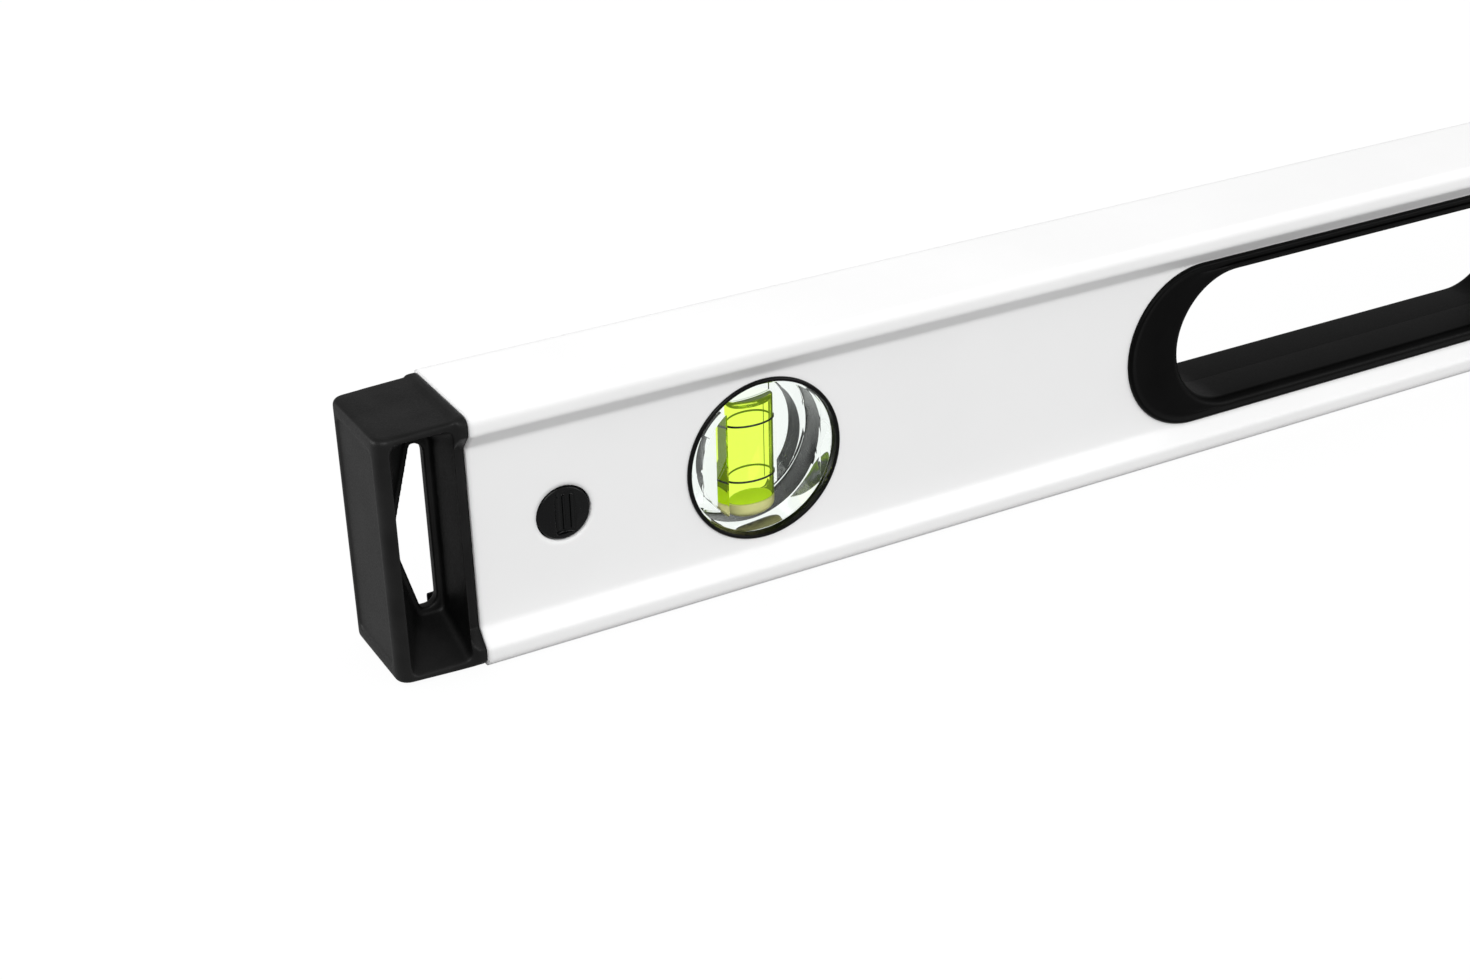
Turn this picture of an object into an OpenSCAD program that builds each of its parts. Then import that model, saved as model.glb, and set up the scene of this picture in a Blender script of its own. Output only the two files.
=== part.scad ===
// Digital spirit level with a box-section beam, two plumb vials, a centre vial, two hand
// grips, a readout module and a rubber cap on each end that pulls off when its button is pressed.
// X runs along the level, Y from the front (-) to the back (+), Z up from the lower measuring
// face. The origin is the middle of that face.

/* [Beam] */
// Length over both end caps
level_len = 1000; // [980:5:1400]
// Height over both measuring faces
beam_h = 60; // [60:0.5:66]
// Depth from front to back
beam_w = 30; // [30:0.5:36]
// Thickness of the top and bottom flanges
flange_t = 3; // [2.4:0.1:3.2]
// Thickness of the two webs
web_t = 1.6; // [1.2:0.1:1.8]
// Thickness of the flange sides
side_t = 1.8; // [1.4:0.1:2.2]
// Depth of the webs behind the flange faces
web_recess = 3.4; // [3:0.1:3.4]
// Height of a flange face
flange_h = 4.6; // [4.2:0.1:5.2]
// Height at which the slope meets the web
slope_h = 8.5; // [8:0.1:8.8]
// Radius of the long edges
edge_r = 2; // [1:0.1:2.4]
// How far the vials, the buttons and the caps' openings sit above the middle
row_lift = 0.6; // [0:0.1:0.8]

/* [End caps] */
// Length of a cap outside the beam
cap_len = 20; // [18:0.5:24]
// Length of the collar that carries on the beam's section
collar_len = 2.8; // [2.4:0.1:3.2]
// Step down from the beam's section to the collar
collar_step = 0.45; // [0.3:0.05:0.6]
// Step down from the beam's top to the cap's top
cap_step = 1; // [0.8:0.1:1.4]
// Step in from the beam's sides to the cap's sides
cap_inset = 1.4; // [1:0.1:1.8]
// Height of the cap's underside above the lower measuring face
cap_foot = 0.4; // [0.2:0.1:0.8]
// Taper of the cap's top and underside towards its end
cap_taper = 0.4; // [0.2:0.1:0.6]
// Radius of the cap's upright corners
cap_r = 3.2; // [2:0.1:3.6]
// Radius of its top and bottom edges
cap_edge_r = 1.2; // [0.8:0.1:1.6]
// Thickness of the wall at the cap's end
cap_wall = 3; // [2.6:0.1:4]
// Thickness of the cap's top and bottom walls at the rim
cap_rim = 1.6; // [1.2:0.1:2]
// Thickness of the web across the middle of the opening
lip_t = 2.8; // [1.8:0.1:3.2]
// Width of that web's edge inside the pocket
lip_w = 1.4; // [1:0.1:2]
// Half height of the opening through the web
opening_half = 19.7; // [19:0.1:20.2]
// Lean of the opening's two outer sides
opening_slant = 0.27; // [0.22:0.01:0.3]
// Distance from the pocket's outer wall to the peak where those sides meet
peak_wall = 2.9; // [2.4:0.1:3.4]
// Drop of that peak below the middle of the opening
peak_drop = 1.7; // [1:0.1:2.2]
// Depth of the sunk panel on the cap's end
panel_depth = 0.5; // [0.3:0.1:0.8]
// Margin round that panel
panel_margin = 3.6; // [3:0.1:4.4]

/* [Cap plugs and release buttons] */
// Length of a plug inside the beam
plug_len = 46; // [44:0.5:48]
// Gap between a plug and the beam
plug_gap = 0.15; // [0.1:0.05:0.25]
// Wall of a plug
plug_wall = 1.6; // [1.2:0.1:2]
// Length of the rubber boss inside a plug
boss_len = 6; // [4:0.5:8]
// Distance from the beam's end to a button's centre
button_x = 21.2; // [20:0.2:23]
// Radius of a button
button_r = 6.25; // [5.6:0.05:6.6]
// Gap round a button
button_gap = 0.35; // [0.3:0.05:0.45]
// How far a button stands proud of the web
button_proud = 0.5; // [0.3:0.1:0.6]
// Distance from a button's centre to the root of its arm
arm_len = 22; // [20:0.5:23]
// Height of the arm
arm_h = 8; // [6:0.5:9]
// Thickness of the arm
arm_t = 1.6; // [1.4:0.1:1.8]
// Radius of the arm's root
root_r = 1.5; // [1.3:0.1:1.6]
// Swing of the arm when the button is pressed, in degrees
arm_swing = 6.5; // [6:0.5:7]

/* [Hand grips] */
// Distance from the beam's end to the middle of a hand hole, as a share of the beam
hand_share = 0.2661; // [0.262:0.0005:0.268]
// Length of a grip over its rim
grip_len = 164; // [158:1:166]
// Length of the open hand hole
hole_len = 133; // [124:1:136]
// Width of the lip above and below the hole
lip_h = 4.2; // [3.8:0.1:4.6]
// How far a grip stands proud of the web
grip_proud = 1; // [0.8:0.1:1.2]
// How far a grip's rim laps over the web
grip_lap = 1.1; // [0.9:0.1:1.4]
// Wall of a grip shell
grip_wall = 1.8; // [1.5:0.1:2]
// Radius of the pegs that join two shells
peg_r = 1.4; // [1.2:0.1:1.6]
// Clearance of a moulding in its cut-out
fit_gap = 0.15; // [0.1:0.05:0.2]

/* [Plumb vials] */
// Distance from the beam's end to a plumb vial's axis
plumb_x = 71; // [70.5:0.5:76]
// Gap between a bezel's rim and the slopes of the beam
plumb_margin = 1.8; // [1.6:0.1:2.4]
// Width of a bezel's face
bezel_face = 1.1; // [0.9:0.1:1.3]
// How far a bezel stands proud of the web
bezel_proud = 0.6; // [0.4:0.1:0.8]
// Wall of a bezel's barrel
bezel_wall = 1.2; // [1:0.1:1.4]
// Half thickness of a vial block at its middle bar
block_half = 10.8; // [10:0.1:11]
// Drop from the middle bar to the sides of the block
block_drop = 5.2; // [4:0.1:6]
// Half width of the middle bar
bar_half = 9; // [8.5:0.1:10]
// Wall left round the block's two sunk sides
block_rim = 2.3; // [2:0.1:2.8]

/* [Vials] */
// Radius of a plumb vial's bore
vial_r = 6.1; // [5.6:0.1:6.2]
// Height of the bubble in a plumb vial
bubble_len = 1.8; // [1.4:0.1:3]
// Distance between the two ring marks, as a share of the bore's length
ring_share = 0.54; // [0.5:0.01:0.58]
// Width of a ring mark
ring_w = 0.45; // [0.35:0.05:0.6]
// Depth of a ring mark in the wall of the bore
ring_t = 0.25; // [0.2:0.05:0.35]
// Length of an end plug
stopper_len = 3.4; // [3:0.1:3.5]
// Clearance of the liquid and the plug in the bore
vial_gap = 0.04; // [0.02:0.01:0.06]

/* [Centre vial] */
// Length of the centre vial's bore
level_vial_len = 26; // [24:0.5:27]
// Length of the centre vial's block
level_block_len = 48; // [46:0.5:52]
// Depth of the block from front to back
level_block_w = 16; // [14.5:0.5:16.5]
// Height of the block
level_block_h = 16; // [15:0.5:16.5]
// Length of the slot in the top flange
slot_len = 44; // [40:0.5:46]
// Width of that slot
slot_w = 13; // [11:0.5:14]
// Depth of the top lens below the measuring face
lens_sink = 0.4; // [0.2:0.1:0.8]
// Length of the windows in the webs
level_window_len = 52; // [50:0.5:56]
// Height of those windows
level_window_h = 16; // [15:0.5:16.5]
// Gap between their bezels and the slope of the beam
level_margin = 1.4; // [1.2:0.1:2]

/* [Readout module] */
// Distance from the middle of the level to the middle of the module, as a share of the beam
module_share = 0.0875; // [0.0855:0.0005:0.09]
// Length of the module
module_len = 84; // [80:0.5:88]
// Gap between the module and the slopes of the beam
module_margin = 1; // [0.8:0.1:1.6]
// How far the module stands proud of the web
module_proud = 1; // [0.8:0.1:1.2]
// Lap of the module over the web
module_lap = 1.5; // [1.2:0.1:1.8]
// Thickness of the module's face plates
plate_t = 2.2; // [2:0.1:2.4]
// Wall of the module's housings
housing_wall = 1.6; // [1.3:0.1:1.9]
// Corner radius of the module
module_r = 5; // [4:0.25:6]
// Length of the display window
window_len = 56; // [50:0.5:60]
// Height of the display window, as a share of the module's
window_share = 0.488; // [0.42:0.004:0.508]
// Thickness of the display window
window_t = 1; // [0.8:0.1:1.1]
// Width of the ledge that carries the window
ledge_w = 1.8; // [1.5:0.1:2.2]
// Thickness of the display
lcd_t = 3.4; // [3:0.1:3.5]
// Thickness of the circuit board
board_t = 1.6; // [1.2:0.1:1.6]
// Length of a key
key_len = 10; // [8:0.25:11]
// Height of a key, as a share of the module's
key_share = 0.156; // [0.136:0.002:0.164]
// Distance between two keys
key_pitch = 14.5; // [13.5:0.25:15]
// Travel of a key
key_travel = 0.6; // [0.4:0.05:0.7]
// Gap round a key
key_gap = 0.2; // [0.15:0.05:0.3]
// Length of a battery cell
cell_len = 44.5; // [43.5:0.5:45]
// Radius of a battery cell
cell_r = 5.2; // [5:0.05:5.25]
// Length of the battery door
door_len = 54; // [53.5:0.25:56]
// Height of the battery door
door_h = 26; // [25:0.25:26.5]
// Thickness of the battery door
door_t = 1.1; // [0.9:0.1:1.2]
// Radius of the door's hinge pins
hinge_r = 0.9; // [0.8:0.05:0.95]
// Length of a hinge pin
hinge_len = 1.4; // [1.2:0.1:1.5]
// Clearance round a hinge pin
hinge_gap = 0.06; // [0.04:0.01:0.08]
// Radius of the screws' shanks
screw_r = 1.1; // [1:0.05:1.2]

/* [Hidden] */
$fn = 96;
over = 0.01;

beam_len = level_len - 2 * cap_len;
mid_z = beam_h / 2;
row_z = mid_z + row_lift;
web_y = beam_w / 2 - web_recess;
inner_y = web_y - web_t;
web_clear = beam_h - 2 * slope_h;
side_line = 0.4;

cap_top = beam_h - cap_step;
body_half = beam_w / 2 - cap_inset;
body_mid = (cap_top + cap_foot) / 2;
pocket_x = cap_len - cap_wall;

plug_y = inner_y - plug_gap;
plug_z = flange_t + plug_gap;
arm_y = plug_y - arm_t;
root_x = button_x + arm_len;
root_y = plug_y - root_r;
seat_t = 1.6;
mouth = 2 * root_r * sin(arm_swing) + 0.1;

grip_r = web_clear / 2 - 0.1;
hole_r = grip_r - lip_h;
slot_r = grip_r - grip_lap;
hand_c = beam_len * (0.5 - hand_share);
dish_depth = 0.4;

bezel_r = web_clear / 2 - plumb_margin;
plumb_hole_r = bezel_r - 0.8;
barrel_r = plumb_hole_r - 0.1;
block_r = barrel_r - bezel_wall - 0.05;
plumb_c = beam_len / 2 - plumb_x;
stopper_skin = 0.17;
plumb_vial_len = 2 * (sqrt(pow(block_r - stopper_skin, 2) - pow(vial_r, 2)) - stopper_len);

level_z = beam_h - slope_h - level_margin - level_window_h / 2;
level_vial_r = 0.86 * vial_r;
carrier_wall = 1.8;
carrier_y = inner_y - 0.1;
carrier_half = level_block_len / 2 + carrier_wall + 1;
carrier_top = beam_h - flange_t - 0.1;

module_x = module_share * beam_len;
module_h = web_clear - 2 * module_margin;
window_h = window_share * module_h;
key_h = key_share * module_h;
open_len = module_len - 2 * module_lap;
open_h = module_h - 2 * module_lap;
open_r = module_r - module_lap;
face_y = web_y + module_proud;
plate_in = face_y - plate_t;
seal_t = 0.6;
seal_y = -1.8;
window_z = mid_z + module_h * 0.388 - window_h / 2;
mat_rim = 0.8;
mat_gap = 0.132;
key_z = mid_z - (open_h / 2 - fit_gap - housing_wall) + mat_gap + mat_rim + key_h / 2;
key_flange = 0.9;
board_y = -plate_in + lcd_t;
board_half = open_h / 2 - 2.5;
dome_h = key_travel + 0.1;
key_proud = 0.5;
mat_t = 0.8;
sensor_t = 2.4;
buzzer_t = 3.4;
door_gap = 0.3;
barrel_t = 0.25;
hinge_y = face_y - door_t - 0.3;
hinge_z = mid_z - door_h / 2;
door_top = hinge_z + door_h;
cell_pitch = 2 * cell_r + 0.8;
bay_half = door_len / 2 - 0.4;
bay_h = 2 * cell_pitch + 0.8;
cell_y = plate_in + 0.75 - cell_r + 0.1;
bay_floor = cell_y - cell_r - 0.1;
screw_x = open_len / 2 - 4.4;
screw_z = open_h / 2 - 3.9;
boss_r = 2.6;

// Points on an arc of radius r about (x, y)
function arc(x, y, r, from, to, steps) =
  [for (i = [0:steps]) let (a = from + (to - from) * i / steps) [x + r * cos(a), y + r * sin(a)]];

// A right-hand outline with its mirror image added
function mirrored(p) = concat(p, [for (i = [len(p) - 1:-1:0]) [-p[i][0], p[i][1]]]);

// Outline of the beam's section, drawn in by a given step
function section(step) =
  let (y = beam_w / 2 - step)
  mirrored(concat(
    arc(y - edge_r, step + edge_r, edge_r, -90, 0, 4),
    [[y, flange_h], [web_y - step, slope_h], [web_y - step, beam_h - slope_h], [y, beam_h - flange_h]],
    arc(y - edge_r, beam_h - step - edge_r, edge_r, 0, 90, 4)));

// Outline of the hollow inside the beam
function hollow() =
  let (y = beam_w / 2 - side_t, low = flange_h - side_line, high = slope_h - 1.5 * side_line)
  mirrored([[y, flange_t], [y, low], [inner_y, high],
    [inner_y, beam_h - high], [y, beam_h - low], [y, beam_h - flange_t]]);

module along_x(from, to) {
  translate([from, 0, 0]) rotate([90, 0, 90]) linear_extrude(to - from) children();
}

module along_y(from, to) {
  translate([0, to, 0]) rotate([90, 0, 0]) linear_extrude(to - from) children();
}

module block(x, y, z) {
  translate([x[0], y[0], z[0]]) cube([x[1] - x[0], y[1] - y[0], z[1] - z[0]]);
}

module rounded(w, h, r) {
  square([w - 2 * r, h], center = true);
  square([w, h - 2 * r], center = true);
  for (x = [-1, 1], y = [-1, 1]) translate([x * (w / 2 - r), y * (h / 2 - r)]) circle(r);
}

module stadium(length, r) {
  for (side = [-1, 1]) translate([side * (length / 2 - r), 0]) circle(r);
  square([length - 2 * r, 2 * r], center = true);
}

// Sweeps a profile round a stadium: x in the profile is the distance outside it, y is forward
module stadium_sweep(length, r) {
  c = length / 2 - r;
  for (side = [-1, 1])
    translate([side * c, 0, 0]) rotate([90, 0, 0]) rotate([0, 0, -90 * side])
      rotate_extrude(angle = 180) translate([r, 0]) children();
  for (side = [-1, 1]) scale([1, 1, side])
    multmatrix([[0, 0, 1, -c], [0, -1, 0, 0], [1, 0, 0, r], [0, 0, 0, 1]])
      linear_extrude(2 * c) children();
}

// Puts a child at the left end (side -1) or, mirrored, at the right end (side 1)
module at_end(side) {
  mirror([side > 0 ? 1 : 0, 0, 0]) translate([-beam_len / 2, 0, 0]) children();
}

// Turns a front piece into the matching back piece
module face_side(back) {
  mirror([0, back ? 1 : 0, 0]) children();
}

// Beam

module beam() {
  color("white") difference() {
    along_x(-beam_len / 2, beam_len / 2) polygon(section(0));
    along_x(-beam_len / 2 - over, beam_len / 2 + over) polygon(hollow());
    for (side = [-1, 1]) {
      translate([side * plumb_c, 0, row_z]) rotate([90, 0, 0])
        cylinder(r = plumb_hole_r, h = beam_w, center = true);
      translate([side * hand_c, 0, mid_z]) along_y(-beam_w / 2, beam_w / 2)
        stadium(grip_len - 2 * grip_lap, slot_r);
      translate([side * (beam_len / 2 - button_x), -beam_w / 4, row_z]) rotate([90, 0, 0])
        cylinder(r = button_r + button_gap, h = beam_w / 2, center = true);
    }
    translate([0, 0, level_z]) along_y(-beam_w / 2, beam_w / 2)
      rounded(level_window_len, level_window_h, 3);
    translate([0, 0, beam_h - flange_t - over]) linear_extrude(flange_t + 2 * over)
      stadium(slot_len, slot_w / 2);
    translate([module_x, 0, mid_z]) along_y(-beam_w / 2, beam_w / 2)
      rounded(open_len, open_h, open_r);
  }
}

// End caps

// Corners of the opening at the cap's middle web, grown by a step: its outer side is two slants
// that meet in a peak
function opening(step) =
  let (low = row_z - opening_half - step, high = row_z + opening_half + step,
    right = -collar_len - 1.2 - lip_w + step, peak_z = row_z - peak_drop,
    peak_x = -pocket_x + peak_wall - step * norm([1, opening_slant]))
  [[right, low], [right, high], [peak_x + (high - peak_z) * opening_slant, high],
    [peak_x, peak_z], [peak_x + (peak_z - low) * opening_slant, low]];

// Outline of the opening itself, rounded at its two inner corners
function opening_outline(r) = let (c = opening(0)) concat(
  arc(c[0][0] - r, c[0][1] + r, r, -90, 0, 4), arc(c[1][0] - r, c[1][1] - r, r, 0, 90, 4),
  [c[2], c[3], c[4]]);

// One tapering pocket, from the rim to the middle web
module pocket(right_wall) {
  corner = 1.6;
  margin = cap_taper / 2 + cap_rim + corner;
  hull() {
    for (x = [-pocket_x + corner, -right_wall - corner], z = [cap_foot + margin, cap_top - margin])
      translate([x, -body_half - over, z]) rotate([-90, 0, 0]) cylinder(r = corner, h = over, $fn = 32);
    for (c = opening(lip_w - corner))
      translate([c[0], -lip_t / 2 - over, c[1]]) rotate([-90, 0, 0])
        cylinder(r = corner, h = over, $fn = 32);
  }
}

// A flat disc with a rounded rim, one corner of the cap's body
module cap_corner() {
  rotate_extrude($fn = 48) polygon(concat([[0, 0]],
    arc(cap_r - cap_edge_r, cap_edge_r, cap_edge_r, -90, 0, 4), [[0, cap_edge_r]]));
}

module cap_body() {
  hull() {
    for (y = [-1, 1]) {
      translate([-cap_len + cap_r, y * (body_half - cap_r), cap_foot + cap_taper]) cap_corner();
      translate([-cap_len + cap_r, y * (body_half - cap_r), cap_top - cap_taper])
        mirror([0, 0, 1]) cap_corner();
    }
    body_end(-collar_len - over);
  }
}

// Outline of the body where it meets the collar
module body_end(x) {
  along_x(x, x + over) translate([0, body_mid])
    rounded(2 * body_half, cap_top - cap_foot, 0.6, $fn = 24);
}

// The collar has the beam's section and rises to it from the body
module collar() {
  intersection() {
    along_x(-collar_len, 0) polygon(section(collar_step));
    hull() {
      body_end(-collar_len - over);
      block([-collar_len / 2, over], [-beam_w / 2, beam_w / 2], [0, beam_h]);
    }
  }
}

module cap_shell() {
  difference() {
    union() {
      cap_body();
      collar();
    }
    along_x(-cap_len - over, -cap_len + panel_depth) translate([0, body_mid])
      rounded(2 * (body_half - panel_margin), cap_top - cap_foot - 2 * panel_margin, 2);
    pocket(collar_len + 0.3);
    mirror([0, 1, 0]) pocket(collar_len - 1.9);
    along_y(-lip_t, lip_t) polygon(opening_outline(2.4));
  }
}

module end_cap(side) {
  color("#262626") at_end(side) {
    cap_shell();
    along_x(0, boss_len) translate([0, mid_z])
      square([2 * (plug_y - plug_wall), beam_h - 2 * (plug_z + plug_wall)], center = true);
  }
}

// The plug is a square tube with a slot for the arm and a round seat for the arm's root
module cap_plug(side) {
  slot_half = button_r + button_gap + 0.4;
  color("#3a3a3c") at_end(side) difference() {
    union() {
      difference() {
        block([0, plug_len], [-plug_y, plug_y], [plug_z, beam_h - plug_z]);
        block([-over, plug_len + over], [-plug_y + plug_wall, plug_y - plug_wall],
          [plug_z + plug_wall, beam_h - plug_z - plug_wall]);
      }
      block([root_x - root_r - 0.4, plug_len], [-plug_y, -root_y + root_r + seat_t],
        [row_z - slot_half - over, row_z + slot_half + over]);
    }
    block([button_x - slot_half, root_x], [-plug_y - over, -plug_y + plug_wall + over],
      [row_z - slot_half, row_z + slot_half]);
    translate([root_x, -root_y, row_z]) cylinder(r = root_r + 0.05, h = arm_h + 0.2, center = true);
    // Mouth of the seat, as wide as the arm needs to swing
    block([root_x - 2 * root_r, root_x], [-plug_y - over, -arm_y + mouth],
      [row_z - arm_h / 2 - 0.1, row_z + arm_h / 2 + 0.1]);
  }
}

// Spring arm with the button on its end and a round root that turns in the plug's seat
module release_latch(side) {
  color("#2b2b2d") at_end(side) {
    translate([root_x, -root_y, row_z]) cylinder(r = root_r, h = arm_h, center = true);
    block([button_x, root_x], [-arm_y - arm_t, -arm_y], [row_z - arm_h / 2, row_z + arm_h / 2]);
    translate([button_x, -arm_y, row_z]) rotate([90, 0, 0]) button();
  }
}

// A shallow dome with an upright scoop and three ribs in it
module button() {
  tall = web_y + button_proud - arm_y;
  brow = 60;
  scoop_r = 3.4;
  scoop_z = tall + 2.2;
  rib_w = 0.5;
  difference() {
    rotate_extrude() polygon(concat([[0, 0], [button_r, 0]],
      arc(button_r - 0.5, tall - 0.9, 0.5, 0, brow, 3), [[button_r * 0.55, tall - 0.12], [0, tall]]));
    translate([0.2, 0, scoop_z]) rotate([90, 0, 0])
      cylinder(r = scoop_r, h = 1.6 * button_r, center = true);
  }
  for (i = [-1:1])
    translate([0.2 + i * button_r * 0.27 - rib_w / 2, -button_r * 0.64, tall - 1.5])
      cube([rib_w, 1.28 * button_r, 0.75 + 0.4 * abs(i)]);
}

// Hand grips

module grip_shell() {
  rim = grip_proud * 0.8;
  // Rounded bead round the outer edge, lapping over the web
  translate([0, -web_y, 0]) stadium_sweep(grip_len, grip_r)
    polygon(concat([[-3, 0], [0, 0]], arc(-rim, grip_proud - rim, rim, 0, 90, 4), [[-3, grip_proud]]));
  // Wall of the hand hole, rounded at its crest
  stadium_sweep(hole_len, hole_r)
    polygon(concat([[0, 0.03], [grip_wall, 0.03], [grip_wall, web_y + grip_proud - dish_depth]],
      arc(1.2, web_y + grip_proud - 1.2, 1.2, 90, 180, 4)));
  // Face between the bead and the hole
  difference() {
    along_y(-web_y - grip_proud + dish_depth, -web_y + 0.8)
      stadium(grip_len - 4, grip_r - 2);
    along_y(-web_y - grip_proud, -web_y + 1) stadium(hole_len + 1.6, hole_r + 0.8);
  }
  // Skirt that fits the cut-out in the web
  translate([0, -web_y, 0]) stadium_sweep(grip_len - 2 * grip_lap - 2 * fit_gap, slot_r - fit_gap)
    polygon([[-grip_wall, -web_t - 1.5], [0, -web_t - 1.5], [0, over], [-grip_wall, over]]);
}

module peg_places() {
  for (side = [-1, 1]) translate([side * (hole_len / 2 + grip_len / 2 - grip_lap) / 2, 0, 0])
    children();
}

module grip(side, back) {
  post_r = peg_r + 1.2;
  color("#1a1a1a") translate([side * hand_c, 0, mid_z]) {
    face_side(back) grip_shell();
    peg_places() face_side(back) rotate([90, 0, 0]) difference() {
      translate([0, 0, 0.03]) cylinder(r = post_r, h = web_y - 0.4);
      if (back) translate([0, 0, -over]) cylinder(r = peg_r + 0.05, h = 4);
    }
    if (!back) peg_places() rotate([-90, 0, 0]) translate([0, 0, -1]) cylinder(r = peg_r, h = 4);
  }
}

// Plumb vials

module plumb_bezel(side, back) {
  d = web_y + bezel_proud;
  inner = bezel_r - bezel_face;
  color("#161616") translate([side * plumb_c, 0, row_z]) face_side(back)
    rotate([90, 0, 0]) rotate_extrude() polygon([
      [barrel_r - bezel_wall, 0.05], [barrel_r, 0.05], [barrel_r, web_y], [bezel_r, web_y],
      [bezel_r, d - 0.3], [bezel_r - 0.3, d], [inner, d], [inner - 0.35, d - 0.3],
      [barrel_r - bezel_wall, block_half - 0.6]]);
}

// The two sides of a vial block that are sunk on one face, with the bar left standing between them
module sunk_sides() {
  ease = 0.5;
  for (side = [-1, 1]) intersection() {
    rotate([90, 0, 0]) cylinder(r = block_r - block_rim, h = block_half + over);
    linear_extrude(2 * block_r, center = true) polygon([[side * bar_half, block_drop - block_half],
      [side * bar_half, ease - block_half], [side * (bar_half - ease - over), -block_half - over],
      [side * block_r, -block_half - over], [side * block_r, block_drop - block_half]]);
  }
}

// Bore of a vial along +Z with its two ring grooves and, below, the seat of the end plug
module vial_bore(r, length, below) {
  translate([0, 0, -length / 2]) cylinder(r = r, h = length);
  for (side = [-1, 1]) translate([0, 0, side * ring_share * length / 2])
    cylinder(r = r + ring_t, h = ring_w + 0.04, center = true);
  translate([0, 0, -length / 2 - stopper_len]) cylinder(r = r, h = stopper_len + over);
  if (below > 0) translate([0, 0, -length / 2 - stopper_len - below]) cylinder(r = r, h = below + over);
}

module vial_liquid(r, length) {
  translate([0, 0, -length / 2 + vial_gap])
    cylinder(r = r - vial_gap, h = length - bubble_len - vial_gap);
}

module vial_rings(r, length) {
  for (side = [-1, 1]) translate([0, 0, side * ring_share * length / 2]) difference() {
    cylinder(r = r + ring_t - 0.02, h = ring_w, center = true);
    cylinder(r = r, h = 2 * ring_w, center = true);
  }
}

module vial_stopper(r, length) {
  translate([0, 0, -length / 2 - stopper_len]) cylinder(r = r - vial_gap, h = stopper_len);
}

module at_plumb(side) {
  translate([side * plumb_c, 0, row_z]) children();
}

module plumb_block(side) {
  color("#dfe8e4") at_plumb(side) difference() {
    rotate([90, 0, 0]) cylinder(r = block_r, h = 2 * block_half, center = true);
    sunk_sides();
    mirror([0, 1, 0]) sunk_sides();
    vial_bore(vial_r, plumb_vial_len, 0);
  }
}

module plumb_liquid(side) {
  color("#d9fb4a") at_plumb(side) vial_liquid(vial_r, plumb_vial_len);
}

module plumb_rings(side) {
  color("#101010") at_plumb(side) vial_rings(vial_r, plumb_vial_len);
}

module plumb_stopper(side) {
  color("#d8cba6") at_plumb(side) vial_stopper(vial_r, plumb_vial_len);
}

// Centre vial

module at_level() {
  translate([0, 0, level_z]) rotate([0, 90, 0]) children();
}

module level_block() {
  color("#dfe8e4") difference() {
    block([-level_block_len / 2, level_block_len / 2], [-level_block_w / 2, level_block_w / 2],
      [level_z - level_block_h / 2, level_z + level_block_h / 2]);
    at_level() vial_bore(level_vial_r, level_vial_len, level_block_len);
  }
}

module level_liquid() {
  color("#d9fb4a") at_level() difference() {
    translate([0, 0, -level_vial_len / 2 + vial_gap])
      cylinder(r = level_vial_r - vial_gap, h = level_vial_len - 2 * vial_gap);
    // The bubble lies along the top of the bore, between the ring marks
    translate([-level_vial_r - 1, 0, 0]) rotate([90, 0, 0]) scale([0.5, 1, 1])
      cylinder(r = 5.6, h = 2 * level_vial_r, center = true);
  }
}

module level_rings() {
  color("#101010") at_level() vial_rings(level_vial_r, level_vial_len);
}

module level_stopper() {
  color("#d8cba6") at_level() vial_stopper(level_vial_r, level_vial_len);
}

module level_carrier() {
  floor_z = level_z - level_block_h / 2;
  color("#161616") difference() {
    block([-carrier_half, carrier_half], [-carrier_y, carrier_y], [floor_z - carrier_wall, carrier_top]);
    block([-level_block_len / 2 - 0.05, level_block_len / 2 + 0.05],
      [-level_block_w / 2 - 0.05, level_block_w / 2 + 0.05], [floor_z, beam_h]);
    translate([0, 0, level_z]) along_y(-beam_w / 2, beam_w / 2)
      rounded(level_block_len - 6, level_window_h - 4, 2);
  }
}

module level_bezel(back) {
  opening = level_window_len - 2 * bezel_wall - 2 * fit_gap;
  height = level_window_h - 2 * bezel_wall - 2 * fit_gap;
  color("#161616") translate([0, 0, level_z]) face_side(back) difference() {
    union() {
      along_y(-web_y - bezel_proud, -web_y)
        rounded(level_window_len + 2, level_window_h + 2, 4);
      along_y(-web_y - over, -carrier_y)
        rounded(level_window_len - 2 * fit_gap, level_window_h - 2 * fit_gap, 3 - fit_gap);
    }
    along_y(-beam_w, 0) rounded(opening, height, 2);
  }
}

module level_lens() {
  color("#dfe8e4") translate([0, 0, carrier_top]) linear_extrude(beam_h - lens_sink - carrier_top)
    stadium(slot_len - 0.2, slot_w / 2 - 0.1);
}

// Readout module

module at_module() {
  translate([module_x, 0, mid_z]) children();
}

module window_outline(step) {
  translate([0, window_z - mid_z]) rounded(window_len - 2 * step, window_h - 2 * step, 1.6);
}

module key_outline(i, step) {
  translate([(i - 1.5) * key_pitch, key_z - mid_z])
    rounded(key_len + 2 * step, key_h + 2 * step, 1.4 + step);
}

// Tray shared by both housings: a face plate that laps over the web and a skirt through the web
module tray(depth) {
  along_y(-face_y, -web_y) rounded(module_len, module_h, module_r);
  difference() {
    along_y(-web_y - over, -depth)
      rounded(open_len - 2 * fit_gap, open_h - 2 * fit_gap, open_r - fit_gap);
    along_y(-plate_in, -depth + over)
      rounded(open_len - 2 * (fit_gap + housing_wall), open_h - 2 * (fit_gap + housing_wall), 2);
  }
}

module screw_places() {
  for (x = [-1, 1], z = [-1, 1]) translate([x * screw_x, 0, z * screw_z]) children();
}

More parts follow.
